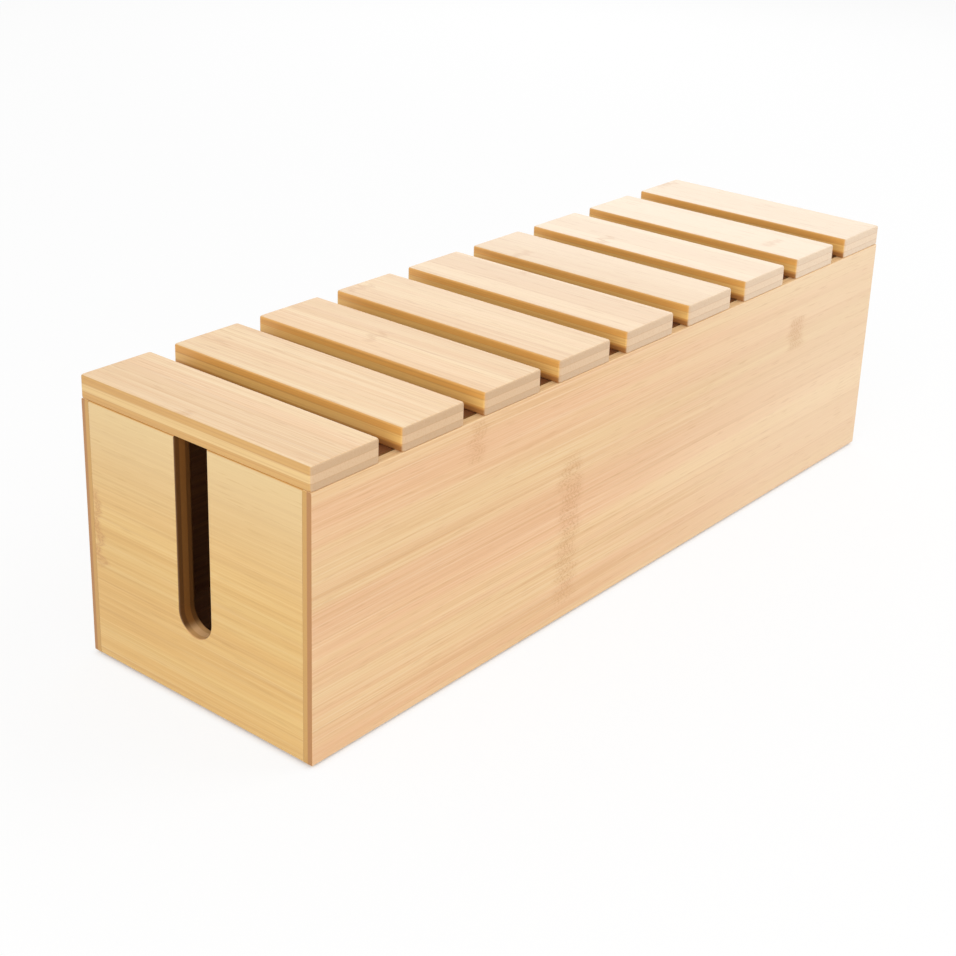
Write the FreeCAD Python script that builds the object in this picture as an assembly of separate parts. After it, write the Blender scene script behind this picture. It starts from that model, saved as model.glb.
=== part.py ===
import FreeCAD, Part
import os

# Cable management box of bamboo ply with a slatted lid that lifts straight off.
# Millimetres. The origin is the middle of the footprint on the desk, X runs along the box,
# the long front panel faces -Y and Z is up.

# Outside of the box
box_length = 430.0
box_width = 130.0
wall_height = 116.0
desk_gap = 1.0  # the walls' lower edges above the desk

# Boards
long_panel_thickness = 4.5
end_panel_thickness = 8.5
base_thickness = 4.0
wall_arris = 0.6  # flat taken off the walls' outer edges

# Base board in its groove
base_height = 3.0  # underside of the base above the walls' lower edges
groove_depth = 2.0
groove_end_play = 0.25
groove_face_play = 0.2

# Cable slot in each end panel, open at the top and round at the bottom
slot_width = 18.5
slot_sill = 31.0  # lowest point of the slot above the wall's lower edge
slot_arris = 0.8  # flat taken off the slot's rims

# Lid slats across the box
slat_width = 36.5
slat_thickness = 10.3
slat_gap_wanted = 12.7
slat_arris = 0.8  # flat taken off every edge

# Lid rails along the box, just inside the long panels
rail_width = 15.0
rail_depth = 10.0
rail_side_play = 1.0
rail_end_play = 1.5
rail_chamfer = 1.5

# Countersunk screws up through the rails into the slats
screw_diameter = 3.0
screw_head_diameter = 6.0
screw_point = 2.0
screw_cover = 3.8  # bamboo left over the screw's point
screw_pilot_play = 0.05
screw_hole_play = 0.2

# Rubber feet stuck under the base
foot_diameter = 12.0
foot_taper = 0.8
foot_inset = 14.0  # from the inside of the walls to the foot's middle

# Levels and places that follow
half_length = box_length / 2
half_width = box_width / 2
wall_low = desk_gap
wall_top = wall_low + wall_height
inner_half_length = half_length - end_panel_thickness
inner_half_width = half_width - long_panel_thickness
base_low = wall_low + base_height
base_top = base_low + base_thickness
slat_count = max(2, round((box_length + slat_gap_wanted) / (slat_width + slat_gap_wanted)))
slat_pitch = (box_length - slat_width) / (slat_count - 1)
slat_centres = [-half_length + slat_width / 2 + slat_pitch * i for i in range(slat_count)]
rail_low = wall_top - rail_depth
rail_outer = inner_half_width - rail_side_play
rail_inner = rail_outer - rail_width
rail_middle = (rail_outer + rail_inner) / 2
screw_length = rail_depth + slat_thickness - screw_cover


def point(x, y, z):
    return FreeCAD.Vector(x, y, z)


def board(x_low, x_high, y_low, y_high, z_low, z_high):
    """A rectangular board between two corners."""
    return Part.makeBox(x_high - x_low, y_high - y_low, z_high - z_low, point(x_low, y_low, z_low))


def turned(outline):
    """A solid turned about the Z axis from (radius, height) pairs that start and end on it."""
    corners = [point(radius, 0, height) for radius, height in outline]
    face = Part.Face(Part.makePolygon(corners + corners[:1]))
    return face.revolve(point(0, 0, 0), point(0, 0, 1), 360)


def lies_at(edge, axis, value):
    """Whether an edge lies in the plane where one coordinate has this value."""
    box = edge.BoundBox
    low = {"x": box.XMin, "y": box.YMin, "z": box.ZMin}[axis]
    high = {"x": box.XMax, "y": box.YMax, "z": box.ZMax}[axis]
    return abs(low - value) < 0.01 and abs(high - value) < 0.01


def on_slot_rim(edge):
    """Whether an edge runs round the slot's mouth on either face of its panel."""
    box = edge.BoundBox
    widest = slot_width / 2 + 0.01
    within = box.YMin > -widest and box.YMax < widest and box.ZMin > wall_low + slot_sill - 0.01
    return within and box.XLength < 0.01


def save(shape, node):
    shape.exportStep("parts/" + node + ".step")


def base_board(play, face_play):
    """The base board, grown by the play that its groove leaves round it."""
    reach_x = inner_half_length + groove_depth - groove_end_play + play
    reach_y = inner_half_width + groove_depth - groove_end_play + play
    return board(-reach_x, reach_x, -reach_y, reach_y, base_low, base_top + face_play)


def long_panel(side):
    """Front (side -1) or rear (side 1) panel, which overlaps the end panels' edges."""
    outer = side * half_width
    inner = side * inner_half_width
    panel = board(-half_length, half_length, min(outer, inner), max(outer, inner), wall_low, wall_top)
    outside = []
    for edge in panel.Edges:
        at_end = lies_at(edge, "x", half_length) or lies_at(edge, "x", -half_length)
        level = lies_at(edge, "z", wall_low) or lies_at(edge, "z", wall_top)
        if lies_at(edge, "y", outer) or (at_end and level):
            outside.append(edge)
    panel = panel.makeChamfer(wall_arris, outside)
    return panel.cut(base_board(groove_end_play, groove_face_play))


def end_panel(side):
    """Left (side -1) or right (side 1) panel with its cable slot."""
    outer = side * half_length
    inner = side * inner_half_length
    x_low = min(outer, inner)
    panel = board(x_low, max(outer, inner), -inner_half_width, inner_half_width, wall_low, wall_top)
    radius = slot_width / 2
    arc_height = wall_low + slot_sill + radius
    above = wall_top + 1
    left_top = point(x_low, -radius, above)
    left_low = point(x_low, -radius, arc_height)
    right_low = point(x_low, radius, arc_height)
    right_top = point(x_low, radius, above)
    bottom = point(x_low, 0, arc_height - radius)
    outline = Part.Wire([
        Part.LineSegment(left_top, left_low).toShape(),
        Part.Arc(left_low, bottom, right_low).toShape(),
        Part.LineSegment(right_low, right_top).toShape(),
        Part.LineSegment(right_top, left_top).toShape(),
    ])
    slot = Part.Face(outline).extrude(point(end_panel_thickness, 0, 0))
    panel = panel.cut(slot)
    rims = [edge for edge in panel.Edges if on_slot_rim(edge)]
    panel = panel.makeChamfer(min(slot_arris, 0.4 * end_panel_thickness), rims)
    level = []
    for edge in panel.Edges:
        flat = lies_at(edge, "z", wall_low) or lies_at(edge, "z", wall_top)
        if lies_at(edge, "x", outer) and flat:
            level.append(edge)
    panel = panel.makeChamfer(wall_arris, level)
    return panel.cut(base_board(groove_end_play, groove_face_play))


def lid_slat(centre):
    """One cross slat, flush with the long panels' outside, drilled from below."""
    half = slat_width / 2
    slat = board(centre - half, centre + half, -half_width, half_width, wall_top, wall_top + slat_thickness)
    slat = slat.makeChamfer(slat_arris, slat.Edges)
    for side in (-1, 1):
        slat = slat.cut(pilot_hole(centre, side * rail_middle))
    return slat


def pilot_hole(x, y):
    """The blind hole that takes the screw's upper half."""
    radius = screw_diameter / 2 + screw_pilot_play
    depth = slat_thickness - screw_cover + screw_pilot_play
    return Part.makeCylinder(radius, depth + 1, point(x, y, wall_top - 1))


def lid_rail(side):
    """Front (side -1) or rear (side 1) rail with its row of countersunk holes."""
    y_low = min(side * rail_outer, side * rail_inner)
    reach = inner_half_length - rail_end_play
    rail = board(-reach, reach, y_low, y_low + rail_width, rail_low, wall_top)
    lower = [edge for edge in rail.Edges if lies_at(edge, "z", rail_low)]
    rail = rail.makeChamfer(rail_chamfer, lower)
    for centre in slat_centres:
        rail = rail.cut(screw_hole(centre, side * rail_middle))
    return rail


def screw_hole(x, y):
    """A clearance hole up through the rail with a countersink at its mouth."""
    head = screw_head_diameter / 2 + screw_hole_play
    shank = screw_diameter / 2 + screw_hole_play
    countersink = [(0, -1), (head + 1, -1), (shank, head - shank)]
    hole = turned(countersink + [(shank, rail_depth + 1), (0, rail_depth + 1)])
    hole.translate(point(x, y, rail_low))
    return hole


def screw(x, y):
    """A countersunk wood screw, its head flush with the rail's underside."""
    head = screw_head_diameter / 2
    shank = screw_diameter / 2
    outline = [(0, 0), (head, 0), (shank, head - shank), (shank, screw_length - screw_point)]
    body = turned(outline + [(0, screw_length)])
    body.translate(point(x, y, rail_low))
    return body


def foot(x_side, y_side):
    """A round rubber foot, a little narrower where it meets the desk."""
    radius = foot_diameter / 2
    body = turned([(0, 0), (radius - foot_taper, 0), (radius, base_low), (0, base_low)])
    x = x_side * (inner_half_length - foot_inset)
    y = y_side * (inner_half_width - foot_inset)
    body.translate(point(x, y, 0))
    return body


os.makedirs("parts", exist_ok=True)

save(long_panel(-1), "front_panel")
save(long_panel(1), "rear_panel")
save(end_panel(-1), "left_end_panel")
save(end_panel(1), "right_end_panel")
save(base_board(0, 0), "base_panel")

for x_side, x_name in ((-1, "left"), (1, "right")):
    for y_side, y_name in ((-1, "front"), (1, "rear")):
        save(foot(x_side, y_side), "foot_" + y_name + "_" + x_name)

for number, centre in enumerate(slat_centres, start=1):
    save(lid_slat(centre), "lid_slat_" + str(number))

for side, name in ((-1, "front"), (1, "rear")):
    save(lid_rail(side), name + "_lid_rail")
    row = [screw(centre, side * rail_middle) for centre in slat_centres]
    save(Part.makeCompound(row), name + "_rail_screws")
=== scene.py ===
import math
from types import SimpleNamespace
import bmesh
import bpy
from mathutils import Matrix, Vector


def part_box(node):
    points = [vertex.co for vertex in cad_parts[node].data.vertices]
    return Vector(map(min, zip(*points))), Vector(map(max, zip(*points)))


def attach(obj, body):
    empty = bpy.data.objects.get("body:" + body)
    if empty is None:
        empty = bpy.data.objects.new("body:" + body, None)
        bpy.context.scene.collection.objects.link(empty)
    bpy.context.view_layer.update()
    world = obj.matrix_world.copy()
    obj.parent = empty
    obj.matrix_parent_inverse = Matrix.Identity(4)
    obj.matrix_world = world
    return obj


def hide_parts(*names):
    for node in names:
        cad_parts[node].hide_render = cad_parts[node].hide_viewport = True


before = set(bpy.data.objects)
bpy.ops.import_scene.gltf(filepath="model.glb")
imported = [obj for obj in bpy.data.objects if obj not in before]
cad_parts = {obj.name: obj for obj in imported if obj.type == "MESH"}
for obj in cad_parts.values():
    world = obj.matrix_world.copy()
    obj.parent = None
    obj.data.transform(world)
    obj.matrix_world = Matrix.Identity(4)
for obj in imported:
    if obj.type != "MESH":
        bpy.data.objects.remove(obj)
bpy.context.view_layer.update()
print("stage: frame loaded")

mm = 0.001
touching = 1e-6    # m, within which two points count as one


# Colours are written as sRGB hex and turned to linear here.
def colour(hexText):
    channels = [int(hexText[i:i + 2], 16) / 255 for i in (0, 2, 4)]
    linear = [c / 12.92 if c <= 0.04045 else ((c + 0.055) / 1.055) ** 2.4 for c in channels]
    return (*linear, 1.0)


# One node with its settings. Each input, by place or by name, takes another node's output, a plain
# value, or a hex text where the socket is a colour.
def addNode(tree, kind, inputs=None, **settings):
    node = tree.nodes.new(kind)
    for name, value in settings.items():
        setattr(node, name, value)
    for key, value in (inputs or {}).items():
        socket = node.inputs[key]
        if isinstance(value, bpy.types.NodeSocket):
            tree.links.new(value, socket)
        elif socket.type == "RGBA":
            socket.default_value = colour(value)
        else:
            socket.default_value = value
    return node


# A material in the making, with short names for the sums that its patterns are built of
class Shader:
    def __init__(self, name):
        self.material = bpy.data.materials.new(name)
        self.material.use_nodes = True
        self.material.node_tree.nodes.clear()

    def node(self, kind, inputs=None, **settings):
        return addNode(self.material.node_tree, kind, inputs, **settings)

    def math(self, operation, first, second=0.0):
        return self.node("ShaderNodeMath", {0: first, 1: second}, operation=operation).outputs[0]

    def plus(self, first, second):
        return self.math("ADD", first, second)

    def minus(self, first, second):
        return self.math("SUBTRACT", first, second)

    def times(self, first, second):
        return self.math("MULTIPLY", first, second)

    def over(self, first, second):
        return self.math("DIVIDE", first, second)

    def size(self, value):
        return self.math("ABSOLUTE", value)

    def fraction(self, value):
        return self.math("FRACT", value)

    def vector(self, operation, inputs):
        return self.node("ShaderNodeVectorMath", inputs, operation=operation).outputs[0]

    def split(self, vector):
        return self.node("ShaderNodeSeparateXYZ", {0: vector}).outputs

    def ramp(self, value, low, high, toLow=0.0, toHigh=1.0):
        inputs = {0: value, 1: low, 2: high, 3: toLow, 4: toHigh}
        return self.node("ShaderNodeMapRange", inputs, interpolation_type="SMOOTHSTEP").outputs[0]

    def fade(self, value, low, high):
        return self.ramp(value, low, high, 1.0, 0.0)

    def mix(self, share, first, second):
        return self.node("ShaderNodeMix", {0: share, 6: first, 7: second}, data_type="RGBA").outputs[2]

    # Lays a tone over a colour where a noise value passes from the tint's low to its high
    def tint(self, base, noise, how, tone, strength=1.0):
        share = self.times(self.ramp(noise, how["low"], how["high"]), how["share"] * strength)
        return self.mix(share, base, tone)

    # Noise drawn out along the grain
    def grain(self, place, pattern):
        length, pitch, shift = pattern["length"], pattern["pitch"], pattern["shift"]
        scaled = self.vector("MULTIPLY", {0: place, 1: (1 / length, 1 / pitch, 1 / pitch)})
        moved = self.vector("ADD", {0: scaled, 1: (shift, shift, shift)})
        inputs = {"Vector": moved, "Scale": 1.0, "Detail": pattern["detail"],
                  "Roughness": bambooLook["patternRoughness"]}
        return self.node("ShaderNodeTexNoise", inputs).outputs["Fac"]

    def cloud(self, place, scale, detail=2.0):
        inputs = {"Vector": place, "Scale": scale, "Detail": detail}
        return self.node("ShaderNodeTexNoise", inputs).outputs["Fac"]

    def finish(self, surface):
        self.node("ShaderNodeOutputMaterial", {"Surface": surface.outputs[0]})
        return self.material


# Bamboo ply: strips of split cane pressed side by side, in plies with the core laid crosswise,
# sanded and given a clear satin lacquer. The eye gets long fine fibres, faint strip joints,
# a few wavy knuckle marks, and tan and straw bands where a board shows its edge.
bambooLook = {
    "stripWidth": 19.0,        # mm, one pressed strip
    "jointHalf": 0.35,         # mm, half the dark line between two strips
    "stripShare": 0.14,        # how far a strip's own tone and its joints tint the face
    "stripShift": 7.3,         # strips, how far a seed of one moves the joints
    "stripDraw": 31.7,         # and how far it moves the draw of the strips' tones
    "knuckleWave": 15.6,       # mm, the span over which a knuckle mark wanders
    "knuckleLine": 2.3,        # mm between the dark lines of a knuckle mark
    "lineEdge": (0.1, 0.38),   # where such a line starts and ends fading, as a share of that
    "betweenLines": 0.15,      # the ink left between two lines
    "markAlong": (0.35, 1.25),    # where a mark starts and ends fading, as shares of its half width
    "markAcross": (0.8, 1.15),    # and of its reach
    "markDraw": 13.7,          # turns a copy's seed into its mark's place across the board
    "patternRoughness": 0.55,  # how much finer noise a pattern carries
    "speckle": 1.4,            # per mm, on sawn ends
    "turn": (0.35, 0.8),       # how squarely a surface faces an axis before it counts as facing it
    "seedStep": (977.0, 531.0, 213.0),    # mm, how far a seed of one moves the pattern
    "coreBlend": 0.18,         # mm, over which one ply passes into the next
    "glueHalf": (0.05, 0.3),   # mm, from the full glue line to none
    "glueShare": 0.3,
    "roughness": 0.47,
    "roughnessSwing": 0.22,
    "coat": 0.12,
    "coatRoughness": 0.32,
    "bumpHeight": 0.12,        # mm
    "bumpStrength": 0.6,
    "bumpFibre": 0.6,
    "bumpJoint": 0.5,
    "bumpKnuckle": 0.6,
}

# Noise patterns, their length along the grain and pitch across it in mm. Real fibre bundles are
# 0.3 mm apart and are drawn coarser so that they show.
patterns = {
    "fibre": {"length": 95.0, "pitch": 0.7, "detail": 3.0, "shift": 0.0},
    "streak": {"length": 190.0, "pitch": 2.6, "detail": 3.0, "shift": 11.0},
    "band": {"length": 520.0, "pitch": 13.0, "detail": 2.0, "shift": 29.0},
    "dash": {"length": 15.2, "pitch": 0.98, "detail": 1.0, "shift": 43.0},
    "wander": {"length": 30.0, "pitch": 3.4, "detail": 2.0, "shift": 59.0},
    "stroke": {"length": 3.6, "pitch": 0.95, "detail": 1.0, "shift": 71.0},
}

# Where each pattern sets in and is full, and the share of its tone that it then brings
tints = {
    "band": {"low": 0.36, "high": 0.64},
    "streak": {"low": 0.48, "high": 0.72, "share": 0.55},
    "fibre": {"low": 0.45, "high": 0.7, "share": 0.36},
    "paleFibre": {"low": 0.5, "high": 0.3, "share": 0.3},
    "dash": {"low": 0.6, "high": 0.74, "share": 0.2},
    "stroke": {"low": 0.34, "high": 0.58},
    "innerStreak": {"low": 0.35, "high": 0.65, "share": 1.0},
    "innerFibre": {"low": 0.4, "high": 0.65, "share": 0.5},
    "inside": {"low": 0.4, "high": 0.8, "share": 0.94},
    "edgeFibre": {"low": 0.4, "high": 0.7, "share": 0.35},
    "speckle": {"low": 0.42, "high": 0.75, "share": 0.18},
}


# Where a point lies in its board, in mm: along the grain, across the face and through the
# thickness. A set-out copy carries its own coordinates and seed.
def boardPlace(shader, board):
    if board["centre"] is None:
        place = shader.node("ShaderNodeAttribute", attribute_name="grain").outputs["Vector"]
        seed = shader.node("ShaderNodeAttribute", attribute_name="boardSeed").outputs["Fac"]
    else:
        source = shader.node("ShaderNodeTexCoord").outputs["Object"]
        offset = [-c for c in board["centre"]]
        centred = shader.node("ShaderNodeMapping", {"Vector": source, "Location": offset}).outputs[0]
        parts = shader.split(centred)
        turned = {i: parts["XYZ".index(axis)] for i, axis in enumerate(board["axes"])}
        place = shader.node("ShaderNodeCombineXYZ", turned).outputs[0]
        seed = shader.node("ShaderNodeValue").outputs[0]
        seed.default_value = board["seed"]
    inMm = shader.vector("SCALE", {0: place, "Scale": 1 / mm})
    moved = shader.vector("SCALE", {0: bambooLook["seedStep"], "Scale": seed})
    along, across, through = shader.split(inMm)
    return SimpleNamespace(along=along, across=across, through=through, seed=seed,
                           seeded=shader.vector("ADD", {0: inMm, 1: moved}))


# Which way the surface faces, in the board's axes
def boardFacing(shader, board):
    normal = shader.node("ShaderNodeNewGeometry").outputs["Normal"]
    parts = shader.split(normal)
    endward, sideward, faceward = (parts["XYZ".index(axis)] for axis in board["axes"])
    low, high = bambooLook["turn"]
    return SimpleNamespace(isEnd=shader.ramp(shader.size(endward), low, high),
                           isSide=shader.ramp(shader.size(sideward), low, high), faceward=faceward)


# Strips pressed side by side: each strip's own tone, and the joints between them
def strips(shader, at):
    width = bambooLook["stripWidth"]
    place = shader.plus(shader.over(at.across, width), shader.times(at.seed, bambooLook["stripShift"]))
    number = shader.plus(shader.math("FLOOR", place), shader.times(at.seed, bambooLook["stripDraw"]))
    tone = shader.node("ShaderNodeTexWhiteNoise", {"W": number}, noise_dimensions="1D").outputs["Value"]
    fromMiddle = shader.size(shader.minus(shader.fraction(place), 0.5))
    joint = shader.ramp(fromMiddle, 0.5 - bambooLook["jointHalf"] / width, 0.5)
    return tone, joint


# Knuckles of the cane, each a wavy band of short dark strokes. Every set-out copy draws its own
# place for its mark.
def knuckleMarks(shader, at, board):
    look = bambooLook
    noise = shader.grain(at.seeded, patterns["wander"])
    wander = shader.times(shader.minus(noise, 0.5), look["knuckleWave"])
    wavy = shader.plus(at.along, wander)
    cycle = shader.fraction(shader.over(wavy, look["knuckleLine"]))
    fromLine = shader.size(shader.minus(cycle, 0.5))
    lines = shader.ramp(fromLine, *look["lineEdge"], 1.0, look["betweenLines"])
    broken = shader.grain(at.seeded, patterns["stroke"])
    strokes = shader.times(shader.ramp(broken, tints["stroke"]["low"], tints["stroke"]["high"]), lines)
    marks = 0.0
    for mark in board["knuckles"]:
        centre, middle = mark["along"], mark["across"]
        if board["centre"] is None:
            centre = shader.times(shader.minus(at.seed, 0.5), mark["along"])
            drawn = shader.fraction(shader.times(at.seed, look["markDraw"]))
            middle = shader.times(shader.minus(drawn, 0.5), mark["across"])
        fromCentre = shader.over(shader.size(shader.minus(wavy, centre)), mark["half"])
        fromMiddle = shader.over(shader.size(shader.minus(at.across, middle)), mark["reach"])
        near = shader.times(shader.fade(fromCentre, *look["markAlong"]),
                            shader.fade(fromMiddle, *look["markAcross"]))
        inked = shader.plus(shader.times(strokes, 1 - mark["soft"]), mark["soft"])
        here = shader.times(shader.times(near, mark["depth"]), inked)
        marks = shader.math("MAXIMUM", marks, here)
    return marks


# The broad face of a board. Faces that look into the box, and the rails' tops, get a dark painted shade,
# with the streaks and fibres still drawn in it.
def faceColour(shader, at, board, parts):
    strength, lightDrift = board["grainStrength"], board["lightDrift"]
    stripTone, joint = parts.strips
    band = shader.grain(at.seeded, patterns["band"])
    dash = shader.grain(at.seeded, patterns["dash"])
    swing = shader.ramp(band, tints["band"]["low"], tints["band"]["high"])
    face = shader.mix(swing, board["faceLight"], board["faceWarm"])
    face = shader.tint(face, parts.streak, tints["streak"], board["streak"], strength)
    face = shader.tint(face, parts.fibre, tints["fibre"], board["streak"], strength)
    # Painted light: paler toward the far end
    face = shader.mix(shader.times(parts.far, lightDrift["share"]), face, lightDrift["tone"])
    face = shader.tint(face, parts.fibre, tints["paleFibre"], board["pale"], strength)
    face = shader.tint(face, dash, tints["dash"], board["fibre"], strength)
    for pattern in (stripTone, joint):
        face = shader.mix(shader.times(pattern, bambooLook["stripShare"] * strength), face, board["fibre"])
    face = shader.mix(parts.knuckles, face, board["knuckle"])
    # Painted shade on faces that look into the box
    if board["inside"]:
        inward = shader.times(parts.facing.faceward, board["inside"])
        dark = shader.tint(board["inner"], parts.streak, tints["innerStreak"], board["innerStreak"])
        dark = shader.tint(dark, parts.fibre, tints["innerFibre"], board["innerFibre"])
        face = shader.tint(face, inward, tints["inside"], dark)
    return face


# Long edges and sawn ends, which show the plies. A slot's walls get painted shade and its sill tones of its
# own, and a slat's long edges get painted bounce light in the gaps and painted shade low down by the rail.
def edgeColours(shader, at, board, parts):
    look, half = bambooLook, board["coreHalf"]
    depth = shader.size(shader.plus(at.through, board["plyShift"]))
    isOuter = shader.ramp(depth, half - look["coreBlend"], half + look["coreBlend"])
    side = shader.mix(isOuter, board["coreSide"], board["outerSide"])
    paintedGapLight = board["paintedGapLight"]
    if paintedGapLight:
        # Painted light: in the gaps the long edges get brighter, warmer tones for bounce light, and their
        # lower part a painted shade by the rail
        inGap = shader.ramp(parts.reach, paintedGapLight["start"] * mm, paintedGapLight["end"] * mm)
        low = shader.fade(at.through, -paintedGapLight["fullDepth"], -paintedGapLight["startDepth"])
        glow = shader.mix(low, shader.mix(isOuter, paintedGapLight["core"], paintedGapLight["outer"]), paintedGapLight["low"])
        side = shader.mix(shader.times(inGap, paintedGapLight["share"]), side, glow)
    side = shader.tint(side, parts.fibre, tints["edgeFibre"], board["fibre"])
    end = shader.mix(isOuter, board["coreEnd"], board["outerEnd"])
    # Painted light: sawn ends drift paler too
    end = shader.mix(shader.times(parts.far, board["endLightDrift"]), end, board["lightDrift"]["tone"])
    end = shader.tint(end, shader.cloud(at.seeded, look["speckle"]), tints["speckle"], board["fibre"])
    glue = shader.fade(shader.size(shader.minus(depth, half)), *look["glueHalf"])
    glue = shader.times(glue, look["glueShare"])
    side = shader.mix(glue, side, board["fibre"])
    end = shader.mix(glue, end, board["fibre"])
    slot = board["slot"]
    if slot:
        between = shader.fade(shader.size(at.along), slot["half"] - slot["halfBlend"], slot["half"])
        above = shader.ramp(at.across, slot["low"] - slot["lowBlend"], slot["low"])
        inSlot = shader.times(between, above)
        # Painted shade: the slot's walls get dark tones for the shade in the slot; its sill gets tones of
        # its own
        end = shader.mix(inSlot, end, shader.mix(isOuter, slot["shadedWallCore"], slot["shadedWallOuter"]))
        side = shader.mix(inSlot, side, shader.mix(isOuter, slot["sillCore"], slot["sillOuter"]))
    return side, end


def bamboo(name, board):
    shader = Shader(name)
    look = bambooLook
    at = boardPlace(shader, board)

    # Painted light: the tone drifts paler across the object as a whole, toward the far end and up the end
    # panels
    lightDrift = board["lightDrift"]
    world = shader.node("ShaderNodeTexCoord").outputs["Object"]
    reach = shader.split(world)["XYZ".index(lightDrift["axis"])]
    parts = SimpleNamespace(
        reach=reach, far=shader.ramp(reach, lightDrift["start"] * mm, lightDrift["end"] * mm),
        facing=boardFacing(shader, board), strips=strips(shader, at),
        fibre=shader.grain(at.seeded, patterns["fibre"]),
        streak=shader.grain(at.seeded, patterns["streak"]),
        knuckles=knuckleMarks(shader, at, board))
    face = faceColour(shader, at, board, parts)
    side, end = edgeColours(shader, at, board, parts)
    skin = shader.mix(parts.facing.isEnd, shader.mix(parts.facing.isSide, face, side), end)

    swing = shader.times(shader.minus(parts.fibre, 0.5), look["roughnessSwing"])
    raised = shader.times(parts.fibre, look["bumpFibre"])
    sunk = shader.plus(shader.times(parts.strips[1], look["bumpJoint"]),
                       shader.times(parts.knuckles, look["bumpKnuckle"]))
    bump = shader.node("ShaderNodeBump", {
        "Height": shader.minus(raised, sunk), "Strength": look["bumpStrength"],
        "Distance": look["bumpHeight"] * mm})
    return shader.finish(shader.node("ShaderNodeBsdfPrincipled", {
        "Base Color": skin, "Roughness": shader.plus(look["roughness"], swing), "IOR": 1.5,
        "Coat Weight": look["coat"], "Coat Roughness": look["coatRoughness"],
        "Normal": bump.outputs[0]}))


# Soft moulded rubber: near black, dull, with a faint bloom in patches
def rubber(name, look):
    shader = Shader(name)
    place = shader.node("ShaderNodeTexCoord").outputs["Object"]
    grit = shader.cloud(place, 1 / (look["grit"] * mm), 3.0)
    bloom = shader.cloud(place, 1 / (look["bloom"] * mm))
    bump = shader.node("ShaderNodeBump", {
        "Height": grit, "Strength": look["bumpStrength"], "Distance": look["bumpHeight"] * mm})
    return shader.finish(shader.node("ShaderNodeBsdfPrincipled", {
        "Base Color": shader.mix(bloom, look["dark"], look["dusty"]), "Roughness": look["roughness"],
        "IOR": 1.52, "Normal": bump.outputs[0]}))


# Zinc plated steel: a bright, slightly yellow metal with a fine turned finish
def platedSteel(name, look):
    shader = Shader(name)
    place = shader.node("ShaderNodeTexCoord").outputs["Object"]
    patch = shader.cloud(place, 1 / (look["patch"] * mm))
    smooth, rough = look["roughness"]
    uneven = shader.node("ShaderNodeMapRange", {0: patch, 3: smooth, 4: rough}).outputs[0]
    return shader.finish(shader.node("ShaderNodeBsdfPrincipled", {
        "Base Color": shader.mix(patch, look["bright"], look["yellow"]), "Metallic": 1.0,
        "Roughness": uneven}))


# Tones and plies that every board starts from. The axes name the object's axis along the grain,
# across the face and through the thickness, and a centre of None means set-out copies.
bambooBoard = {
    "faceLight": "EDCB98", "faceWarm": "EABC90", "streak": "D9A874", "pale": "F4DBB4",
    "fibre": "BA8349", "knuckle": "C28A52", "knuckles": [], "grainStrength": 1.0,
    "coreSide": "E9C98C", "outerSide": "D3A158", "coreEnd": "E0B78A", "outerEnd": "CFA276",
    "coreHalf": 1.5, "plyShift": 0.0, "endLightDrift": 0.0, "paintedGapLight": None, "slot": None,
    # The inner tones, with their streak and fibre, are painted shade for faces inside the box
    "inside": 0, "inner": "75472A", "innerStreak": "8A5934", "innerFibre": "5E3820",
    "seed": 0.0, "centre": None, "axes": "XYZ",
    # Painted light: the tone a board drifts toward, paler toward the far end
    "lightDrift": {"axis": "X", "start": -90.0, "end": 195.0, "tone": "F1D7B4", "share": 0.66},
}


def nodeCentre(*nodes):
    corners = [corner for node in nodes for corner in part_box(node)]
    low = Vector(map(min, *corners))
    high = Vector(map(max, *corners))
    return (low + high) / 2


def newObject(name, mesh):
    piece = bpy.data.objects.new(name, mesh)
    bpy.context.scene.collection.objects.link(piece)
    return piece


# Applies an object's modifiers, with normals that keep wide faces flat, and leaves a plain mesh
def settle(piece):
    weigh = piece.modifiers.new("weigh", "WEIGHTED_NORMAL")
    weigh.keep_sharp = True
    bpy.context.view_layer.update()
    evaluated = piece.evaluated_get(bpy.context.evaluated_depsgraph_get())
    plain = bpy.data.meshes.new_from_object(evaluated)
    piece.modifiers.clear()
    piece.data = plain
    plain.name = piece.name
    return piece


# A mesh from a bmesh, shaded smooth up to the given angle in degrees
def meshOf(name, shape, smoothAngle=40):
    bmesh.ops.recalc_face_normals(shape, faces=shape.faces)
    mesh = bpy.data.meshes.new(name)
    shape.to_mesh(mesh)
    shape.free()
    mesh.polygons.foreach_set("use_smooth", [True] * len(mesh.polygons))
    mesh.set_sharp_from_angle(angle=math.radians(smoothAngle))
    return mesh


def roundEdges(shape, wanted, radius, segments):
    edges = [edge for edge in shape.edges if wanted(edge)]
    bmesh.ops.bevel(shape, geom=edges, offset=radius, segments=segments, profile=0.5, affect="EDGES")


def boxShape(low, high):
    shape = bmesh.new()
    placed = Matrix.Translation((low + high) / 2) @ Matrix.Diagonal((*(high - low), 1))
    bmesh.ops.create_cube(shape, size=1.0, matrix=placed)
    return shape


# A profile of (radius, height) pairs turned round Z
def spunShape(profile, steps):
    shape = bmesh.new()
    verts = [shape.verts.new((radius, 0, height)) for radius, height in profile]
    edges = [shape.edges.new(pair) for pair in zip(verts, verts[1:])]
    bmesh.ops.spin(shape, geom=verts + edges, cent=(0, 0, 0), axis=(0, 0, 1), angle=2 * math.pi,
                   steps=steps)
    bmesh.ops.remove_doubles(shape, verts=shape.verts, dist=touching)
    return shape


def edgeLies(edge, axis, value):
    return all(abs(vert.co["xyz".index(axis)] - value) < touching for vert in edge.verts)


def edgeRuns(edge, axis):
    first, second = edge.verts
    span = second.co - first.co
    return abs(span["xyz".index(axis)]) > 0.99 * span.length


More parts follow.
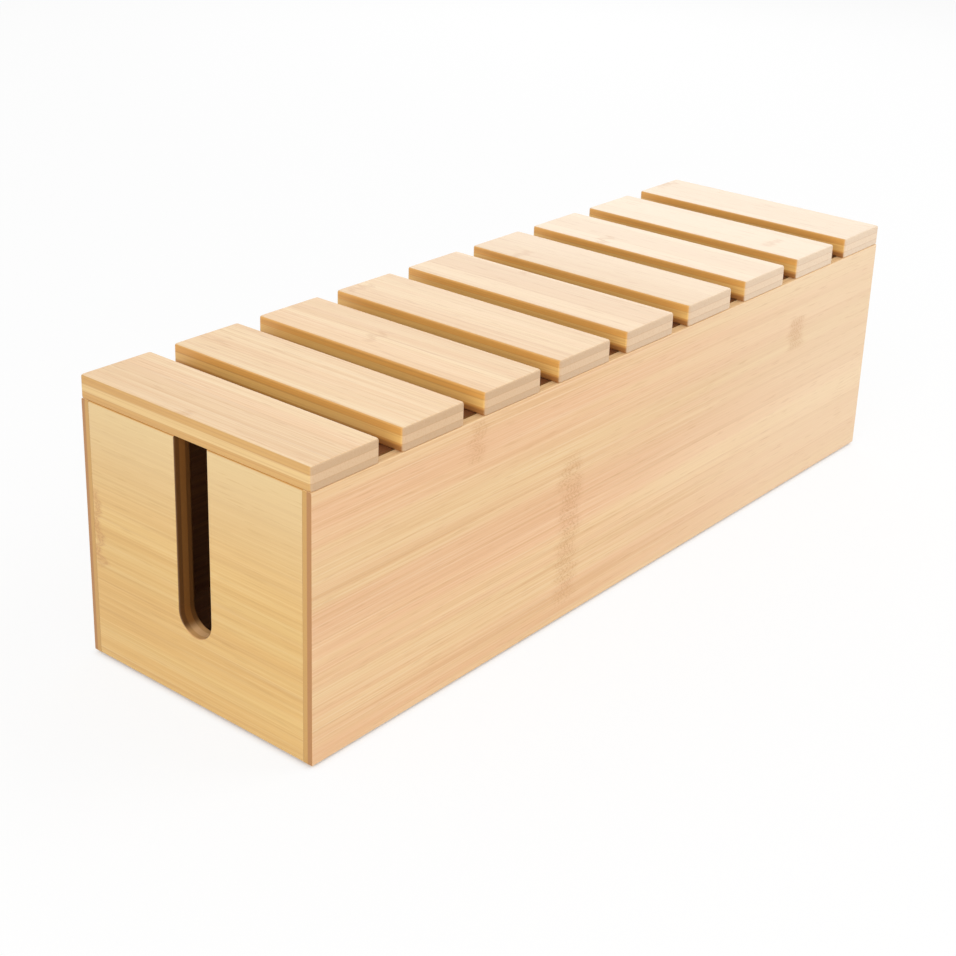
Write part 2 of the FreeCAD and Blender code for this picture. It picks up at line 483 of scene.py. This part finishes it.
# What repeats along the box: one mesh set out in a line along X and again along Y. Each copy
# in the first line carries its own number, from which the material draws that copy's grain.
def repeatTree():
    tree = bpy.data.node_groups.new("setOut", "GeometryNodeTree")
    face = tree.interface
    face.new_socket("Piece", in_out="INPUT", socket_type="NodeSocketGeometry")
    for name, kind in (("Count X", "Int"), ("Pitch X", "Float"), ("Count Y", "Int"), ("Pitch Y", "Float"),
                       ("Seed", "Int"), ("Finish", "Material")):
        face.new_socket(name, in_out="INPUT", socket_type="NodeSocket" + kind)
    face.new_socket("Set", in_out="OUTPUT", socket_type="NodeSocketGeometry")
    given = addNode(tree, "NodeGroupInput").outputs

    def product(first, second):
        return addNode(tree, "ShaderNodeMath", {0: first, 1: second}, operation="MULTIPLY").outputs[0]

    instances = given["Piece"]
    for axis, place in (("X", 0), ("Y", 1)):
        count, pitch = given["Count " + axis], given["Pitch " + axis]
        gaps = addNode(tree, "ShaderNodeMath", {0: count, 1: 1.0}, operation="SUBTRACT").outputs[0]
        start = addNode(tree, "ShaderNodeCombineXYZ", {place: product(product(pitch, gaps), -0.5)})
        step = addNode(tree, "ShaderNodeCombineXYZ", {place: pitch})
        line = addNode(tree, "GeometryNodeMeshLine", {
            "Count": count, "Start Location": start.outputs[0], "Offset": step.outputs[0]}, mode="OFFSET")
        copies = addNode(tree, "GeometryNodeInstanceOnPoints",
                         {"Points": line.outputs[0], "Instance": instances})
        instances = copies.outputs[0]
        if axis == "X":
            draw = addNode(tree, "FunctionNodeRandomValue", {"Seed": given["Seed"]}, data_type="FLOAT")
            kept = addNode(tree, "GeometryNodeStoreNamedAttribute", {
                "Geometry": instances, "Name": "boardSeed", "Value": draw.outputs[1]},
                data_type="FLOAT", domain="INSTANCE")
            instances = kept.outputs[0]
    real = addNode(tree, "GeometryNodeRealizeInstances", {"Geometry": instances})
    dressed = addNode(tree, "GeometryNodeSetMaterial", {
        "Geometry": real.outputs[0], "Material": given["Finish"]})
    addNode(tree, "NodeGroupOutput", {"Set": dressed.outputs[0]})
    return tree


setOut = repeatTree()


# Sets out copies of a mesh about a middle point and leaves a plain mesh with its object at the origin
def setOutCopies(name, mesh, middle, values, finish):
    piece = newObject(name, mesh)
    modifier = piece.modifiers.new("setOut", "NODES")
    modifier.node_group = setOut
    values = dict(values, Finish=finish)
    for item in setOut.interface.items_tree:
        if item.in_out == "INPUT" and item.name in values:
            modifier[item.identifier] = values[item.name]
    settle(piece)
    piece.data.transform(Matrix.Translation(middle))
    return piece


# Long panels: front and rear, grain along the box, their sawn ends showing at the corners. The
# depth of a ply is counted from a plane plySplit mm inside the panel's middle, so each panel
# shows two plies, parted midway.
longPanel = {
    "arris": 0.6, "arrisSegments": 3, "plySplit": 10.0,
    "coreEnd": "CA9C56", "outerEnd": "B27E4A", "coreSide": "EBCB9A", "outerSide": "E9C594",
}
frontKnuckles = [
    {"along": -55.0, "across": -15.0, "half": 8.5, "reach": 36.0, "depth": 0.5, "soft": 0.22},
    {"along": -120.0, "across": 48.0, "half": 6.0, "reach": 9.0, "depth": 0.42, "soft": 0.3},
    {"along": 135.0, "across": 28.0, "half": 8.0, "reach": 8.5, "depth": 0.48, "soft": 0.42},
]
rearKnuckles = [
    {"along": 96.0, "across": 20.0, "half": 5.0, "reach": 28.0, "depth": 0.45, "soft": 0.45},
    {"along": -88.0, "across": -38.0, "half": 4.5, "reach": 12.0, "depth": 0.5, "soft": 0.6},
]


def buildLongPanel(name, node, outward, seed, knuckles):
    low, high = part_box(node)
    outer = low.y if outward < 0 else high.y
    shape = boxShape(low, high)

    def outside(edge):
        atEnd = edgeLies(edge, "x", low.x) or edgeLies(edge, "x", high.x)
        return edgeLies(edge, "y", outer) or (atEnd and edgeRuns(edge, "y"))

    roundEdges(shape, outside, longPanel["arris"] * mm, longPanel["arrisSegments"])
    piece = settle(newObject(name, meshOf(name, shape)))
    split = longPanel["plySplit"]
    tones = {key: longPanel[key] for key in ("coreEnd", "outerEnd", "coreSide", "outerSide")}
    board = dict(bambooBoard, **tones, centre=nodeCentre(node), axes="XZY", seed=seed,
                 knuckles=knuckles, inside=-outward, coreHalf=split, plyShift=split * outward)
    piece.data.materials.append(bamboo(name + "Bamboo", board))
    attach(piece, "box")
    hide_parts(node)


buildLongPanel("frontPanel", "front_panel", -1, 0.31, frontKnuckles)
buildLongPanel("rearPanel", "rear_panel", 1, 0.77, rearKnuckles)
print("stage: long panels")


# End panels: thicker boards between the long ones, each with its open-topped cable slot
endPanel = {
    "slotWidth": 18.5, "slotSill": 31.0, "rimRound": 0.8, "rimSegments": 3, "arcSteps": 32,
    "jointHair": 0.07,     # mm, the hairline where it meets each long panel
    "slotShadePast": 0.3,    # mm, how far past its rounded rim the slot's painted shade reaches
}
endBoard = dict(
    bambooBoard, axes="YZX", faceLight="E5C07A", faceWarm="E1B66F", streak="CC9B59", pale="ECCF98",
    fibre="B98747", grainStrength=0.85,
    # The slot's dark wall tones are painted shade
    slot={"half": endPanel["slotWidth"] / 2 + endPanel["rimRound"] + endPanel["slotShadePast"],
          "halfBlend": 0.3, "low": -45.0, "lowBlend": 2.0, "shadedWallCore": "8C5B28", "shadedWallOuter": "6C441C",
          "sillCore": "F0C088", "sillOuter": "DDA96C"},
    # Painted light: the end panels get paler toward their tops
    lightDrift={"axis": "Z", "start": 55.0, "end": 118.0, "tone": "E4C998", "share": 0.7})
leftKnuckle = {"along": 57.8, "across": 2.0, "half": 3.4, "reach": 17.5, "depth": 0.68, "soft": 0.42}
rightKnuckle = {"along": -34.0, "across": 22.0, "half": 3.4, "reach": 20.0, "depth": 0.4, "soft": 0.5}


def buildEndPanel(name, node, outward, seed, knuckle):
    low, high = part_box(node)
    hair = endPanel["jointHair"] * mm
    yLow, yHigh = low.y + hair, high.y - hair
    radius = endPanel["slotWidth"] / 2 * mm
    arcHeight = low.z + endPanel["slotSill"] * mm + radius
    outline = [(yLow, low.z), (yHigh, low.z), (yHigh, high.z), (radius, high.z)]
    for step in range(endPanel["arcSteps"] + 1):
        angle = -math.pi * step / endPanel["arcSteps"]
        outline.append((radius * math.cos(angle), arcHeight + radius * math.sin(angle)))
    outline += [(-radius, high.z), (yLow, high.z)]
    shape = bmesh.new()
    near = shape.faces.new([shape.verts.new((low.x, y, z)) for y, z in outline])
    grown = bmesh.ops.extrude_face_region(shape, geom=[near])
    moved = [item for item in grown["geom"] if isinstance(item, bmesh.types.BMVert)]
    bmesh.ops.translate(shape, verts=moved, vec=(high.x - low.x, 0, 0))
    outer, inner = (low.x, high.x) if outward < 0 else (high.x, low.x)

    def onRim(edge):
        inSlot = all(abs(vert.co.y) < radius + touching and vert.co.z > low.z + mm for vert in edge.verts)
        return inSlot and (edgeLies(edge, "x", outer) or edgeLies(edge, "x", inner))

    def level(edge):
        flat = edgeLies(edge, "z", low.z) or edgeLies(edge, "z", high.z)
        return flat and edgeLies(edge, "x", outer)

    roundEdges(shape, lambda edge: onRim(edge) or level(edge), endPanel["rimRound"] * mm,
               endPanel["rimSegments"])
    piece = settle(newObject(name, meshOf(name, shape)))
    board = dict(endBoard, centre=nodeCentre(node), seed=seed, knuckles=[knuckle], inside=-outward)
    piece.data.materials.append(bamboo(name + "Bamboo", board))
    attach(piece, "box")
    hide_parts(node)


buildEndPanel("leftEndPanel", "left_end_panel", -1, 0.12, leftKnuckle)
buildEndPanel("rightEndPanel", "right_end_panel", 1, 0.58, rightKnuckle)
print("stage: end panels")


# Base and rails keep their machined solids and get bamboo of their own
baseBoard = dict(bambooBoard, seed=0.43, inside=1, coreHalf=0.7)
# The rails' darker tones are painted shade, for where they sit under the slats
shadedRailBoard = dict(
    bambooBoard, coreHalf=1.7, faceLight="C98F58", faceWarm="BC7F49", streak="A66C39", pale="D3A06A",
    coreSide="C9935A", outerSide="B07741", inside=1, inner="6A3B1D", innerStreak="7A4824",
    innerFibre="532D16", lightDrift=dict(bambooBoard["lightDrift"], share=0.0))
keptBoards = {
    "base_panel": baseBoard,
    "front_lid_rail": dict(shadedRailBoard, seed=0.21),
    "rear_lid_rail": dict(shadedRailBoard, seed=0.66),
}
for node, board in keptBoards.items():
    board["centre"] = nodeCentre(node)
    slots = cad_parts[node].data.materials
    slots.clear()
    slots.append(bamboo(node + "Bamboo", board))
print("stage: base and rails")


# Lid slats: three-ply boards with softly rounded arrises, set out along the lid. Their knuckle's
# along and across are the spans from which each slat draws its own mark's place. Their edges get painted
# bounce light from the gap's start on along the box, and painted shade that many mm below the slat's
# middle.
slat = {"round": 0.9, "cornerRound": 1.5, "roundSegments": 4, "seed": 5}
slatNodes = sorted(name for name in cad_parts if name.startswith("lid_slat_"))
slatBoard = dict(
    bambooBoard, axes="YXZ", coreHalf=1.75, faceLight="F1D1A2", faceWarm="EEC799", streak="DFB483",
    pale="F8E2C1", coreSide="E6C284", outerSide="D5A661", coreEnd="D9B68E", outerEnd="CAA780",
    grainStrength=1.15, endLightDrift=0.5,
    # Painted light in the gaps: core and outer are painted bounce light, low is painted shade by the rail
    paintedGapLight={"start": -200.0, "end": -180.0, "share": 0.75, "core": "F5C570", "outer": "EDB058",
         "low": "8E5222", "fullDepth": 3.35, "startDepth": 1.55},
    # Painted light: the slats get paler toward the far end
    lightDrift={"axis": "X", "start": -150.0, "end": 190.0, "tone": "FAE9D2", "share": 0.85},
    knuckles=[{"along": 230.0, "across": 50.0, "half": 2.8, "reach": 8.0, "depth": 0.3, "soft": 0.6}])


def buildSlats():
    low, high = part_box("lid_slat_1")
    size = high - low
    shape = boxShape(-size / 2, size / 2)
    roundEdges(shape, lambda edge: edgeRuns(edge, "z"), slat["cornerRound"] * mm, slat["roundSegments"])
    brims = (-size.z / 2, size.z / 2)
    roundEdges(shape, lambda edge: any(edgeLies(edge, "z", brim) for brim in brims), slat["round"] * mm,
               slat["roundSegments"])
    mesh = meshOf("lidSlats", shape)
    grain = mesh.attributes.new("grain", "FLOAT_VECTOR", "POINT")
    for vert, value in zip(mesh.vertices, grain.data):
        value.vector = (vert.co.y, vert.co.x, vert.co.z)
    centres = sorted(nodeCentre(node).x for node in slatNodes)
    pitch = (centres[-1] - centres[0]) / (len(centres) - 1)
    middle = Vector((sum(centres) / len(centres), (low.y + high.y) / 2, (low.z + high.z) / 2))
    values = {"Count X": len(centres), "Pitch X": pitch, "Count Y": 1, "Pitch Y": 0.0, "Seed": slat["seed"]}
    piece = setOutCopies("lidSlats", mesh, middle, values, bamboo("slatBamboo", slatBoard))
    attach(piece, "lid")
    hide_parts(*slatNodes)
    return pitch, len(centres)


slatPitch, slatCount = buildSlats()
print("stage: slats", slatCount)


# Countersunk wood screws with a cross recess, seen from under the lid
screwLook = {
    "head": 6.0, "shank": 3.0, "length": 16.5, "point": 2.0, "steps": 24,
    "smoothAngle": 30, "recessLong": 3.4, "recessWide": 0.75, "recessDeep": 1.2, "recessTaper": 0.6,
    "patch": 2.0, "bright": "C9C6BE", "yellow": "C2B48A", "roughness": (0.28, 0.42),
}


# One screw standing on its head, with the cross sunk into it
def screwMesh():
    look = screwLook
    head, shank = look["head"] / 2 * mm, look["shank"] / 2 * mm
    profile = [(0, 0), (head, 0), (shank, head - shank), (shank, (look["length"] - look["point"]) * mm),
               (0, look["length"] * mm)]
    body = meshOf("railScrews", spunShape(profile, look["steps"]), look["smoothAngle"])
    screw = newObject("railScrews", body)
    halfLong, halfWide = look["recessLong"] / 2 * mm, look["recessWide"] / 2 * mm
    top = look["recessDeep"] * mm
    cutters = []
    for reachX, reachY in ((halfLong, halfWide), (halfWide, halfLong)):
        shape = boxShape(Vector((-reachX, -reachY, -mm)), Vector((reachX, reachY, top)))
        for vert in shape.verts:
            if vert.co.z > 0:
                vert.co.x *= look["recessTaper"]
                vert.co.y *= look["recessTaper"]
        cutter = newObject("recess", meshOf("recess", shape))
        cut = screw.modifiers.new("recess", "BOOLEAN")
        cut.object = cutter
        cut.operation = "DIFFERENCE"
        cutters.append(cutter)
    settle(screw)
    mesh = screw.data
    for spent in cutters + [screw]:
        bpy.data.objects.remove(spent)
    return mesh


def buildScrews():
    frontLow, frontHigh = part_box("front_rail_screws")
    frontY, rearY = nodeCentre("front_rail_screws").y, nodeCentre("rear_rail_screws").y
    middle = Vector(((frontLow.x + frontHigh.x) / 2, (frontY + rearY) / 2, frontLow.z))
    values = {"Count X": slatCount, "Pitch X": slatPitch, "Count Y": 2, "Pitch Y": rearY - frontY}
    piece = setOutCopies("railScrews", screwMesh(), middle, values, platedSteel("zincSteel", screwLook))
    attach(piece, "lid")
    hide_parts("front_rail_screws", "rear_rail_screws")


buildScrews()
print("stage: screws")


# Rubber feet with a rounded lower edge
footLook = {
    "taper": 0.8, "round": 0.7, "roundSteps": 5, "steps": 40, "smoothAngle": 35, "grit": 0.35,
    "bloom": 4.0, "dark": "17171A", "dusty": "2A2A2C", "roughness": 0.72, "bumpStrength": 0.5,
    "bumpHeight": 0.08,
}


def buildFeet():
    look = footLook
    low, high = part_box("foot_front_left")
    radius, height = (high.x - low.x) / 2, high.z - low.z
    lowRadius = radius - look["taper"] * mm
    turn = look["round"] * mm
    profile = [(0, 0)]
    for step in range(look["roundSteps"] + 1):
        angle = math.pi / 2 * step / look["roundSteps"]
        profile.append((lowRadius - turn + turn * math.sin(angle), turn - turn * math.cos(angle)))
    profile += [(radius, height), (0, height)]
    mesh = meshOf("rubberFeet", spunShape(profile, look["steps"]), look["smoothAngle"])
    names = ["foot_front_left", "foot_front_right", "foot_rear_left", "foot_rear_right"]
    frontLeft, frontRight, rearLeft, rearRight = (nodeCentre(name) for name in names)
    middle = (frontLeft + frontRight + rearLeft + rearRight) / len(names)
    middle.z = low.z
    values = {"Count X": 2, "Pitch X": frontRight.x - frontLeft.x,
              "Count Y": 2, "Pitch Y": rearLeft.y - frontLeft.y}
    piece = setOutCopies("rubberFeet", mesh, middle, values, rubber("footRubber", look))
    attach(piece, "box")
    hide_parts(*names)


buildFeet()
print("stage: feet")


# Pale floor. Most of what the camera sees of it is its own light, so it reads as white paper and
# still keeps the box's shadow. That light fails close to a wall, which leaves a thin dark line
# under the box. From below the paper is clear, so that the underside can be looked at.
stageLook = {
    "floorSize": 60.0,         # m
    "underFeet": 0.1,          # mm
    "paper": "F9F9F9",
    "selfLight": 0.85,         # share of its own light, out in the open
    "nookLight": 0.0,          # and where a wall closes it in
    "nookReach": 3.0,          # mm, how near a wall is when it starts to
    "nookSamples": 8,
}


def buildFloor():
    shader = Shader("paperFloor")
    rays = shader.node("ShaderNodeLightPath").outputs
    seen = shader.math("MAXIMUM", rays["Is Camera Ray"], rays["Is Glossy Ray"])
    seen = shader.math("MAXIMUM", seen, rays["Is Transmission Ray"])
    nook = shader.node("ShaderNodeAmbientOcclusion", {"Distance": stageLook["nookReach"] * mm},
                       samples=stageLook["nookSamples"])
    lit = shader.node("ShaderNodeMapRange", {
        0: nook.outputs["AO"], 3: stageLook["nookLight"], 4: stageLook["selfLight"]})
    paper = shader.node("ShaderNodeBsdfDiffuse", {"Color": stageLook["paper"]})
    glow = shader.node("ShaderNodeEmission", {"Color": "FFFFFF", "Strength": 1.0})
    above = shader.node("ShaderNodeMixShader", {
        0: shader.times(seen, lit.outputs[0]), 1: paper.outputs[0], 2: glow.outputs[0]})
    isBelow = shader.node("ShaderNodeNewGeometry").outputs["Backfacing"]
    clear = shader.node("ShaderNodeBsdfTransparent")
    sheet = shader.node("ShaderNodeMixShader", {0: isBelow, 1: above.outputs[0], 2: clear.outputs[0]})
    shape = bmesh.new()
    bmesh.ops.create_grid(shape, x_segments=1, y_segments=1, size=stageLook["floorSize"] / 2)
    mesh = bpy.data.meshes.new("floor")
    shape.to_mesh(mesh)
    shape.free()
    floor = newObject("floor", mesh)
    floor.data.materials.append(shader.finish(sheet))
    floor.location.z = -stageLook["underFeet"] * mm


buildFloor()

# Soft studio light: a wide key above the far end, a fill at the front left and an even white room
lamps = {
    "key": {"place": (0.85, -0.8, 1.05), "size": 1.1, "watts": 6.5},
    "fill": {"place": (-1.3, -0.6, 0.8), "size": 1.2, "watts": 8.5},
    "sheen": {"place": (1.15, 0.85, 0.75), "size": 1.2, "watts": 3.0},
}
roomLight = 0.67
lampAim = Vector((0, 0, 0.06))


def buildLamps():
    for name, lamp in lamps.items():
        light = bpy.data.lights.new(name, "AREA")
        light.shape = "DISK"
        light.size = lamp["size"]
        light.energy = lamp["watts"]
        lampObject = newObject(name, light)
        lampObject.location = lamp["place"]
        lampObject.rotation_mode = "QUATERNION"
        lampObject.rotation_quaternion = (lampAim - lampObject.location).to_track_quat("-Z", "Y")


# The room lights the box at roomLight and shows itself as white
def buildRoom():
    world = bpy.data.worlds.new("room")
    bpy.context.scene.world = world
    world.use_nodes = True
    tree = world.node_tree
    tree.nodes.clear()
    rays = addNode(tree, "ShaderNodeLightPath").outputs
    seen = addNode(tree, "ShaderNodeMath", {0: rays["Is Camera Ray"], 1: rays["Is Glossy Ray"]},
                   operation="MAXIMUM")
    strength = addNode(tree, "ShaderNodeMapRange", {0: seen.outputs[0], 3: roomLight, 4: 1.0})
    backdrop = addNode(tree, "ShaderNodeBackground", {"Color": "FFFFFF", "Strength": strength.outputs[0]})
    addNode(tree, "ShaderNodeOutputWorld", {"Surface": backdrop.outputs[0]})


buildLamps()
buildRoom()
print("stage: floor and light")


# Camera, solved from the corners of the box in the photograph. The centre row is the picture row,
# counted from the top, at the height of the lens's axis.
view = {
    "azimuth": -51.06, "elevation": 21.66, "roll": 2.0, "distance": 0.7966, "focalPixels": 1739.5,
    "framePixels": 956, "centreRow": 380, "target": (-0.0415, 0.0, 0.0933),
}


def buildCamera():
    azimuth, elevation, roll = (math.radians(view[key]) for key in ("azimuth", "elevation", "roll"))
    back = Vector((math.sin(azimuth) * math.cos(elevation), -math.cos(azimuth) * math.cos(elevation),
                   math.sin(elevation)))
    right = (-back).cross(Vector((0, 0, 1))).normalized()
    up = right.cross(-back)
    rolledRight = right * math.cos(roll) + up * math.sin(roll)
    rolledUp = up * math.cos(roll) - right * math.sin(roll)
    data = bpy.data.cameras.new("photoView")
    data.sensor_width = 36.0
    data.lens = view["focalPixels"] / view["framePixels"] * data.sensor_width
    data.shift_y = view["centreRow"] / view["framePixels"] - 0.5
    data.clip_start = 0.01
    camera = newObject("photoView", data)
    turn = Matrix((rolledRight, rolledUp, back)).transposed().to_4x4()
    camera.matrix_world = Matrix.Translation(Vector(view["target"]) + back * view["distance"]) @ turn
    bpy.context.scene.camera = camera


buildCamera()
bpy.context.scene.view_settings.view_transform = "Standard"

print("stage: done")
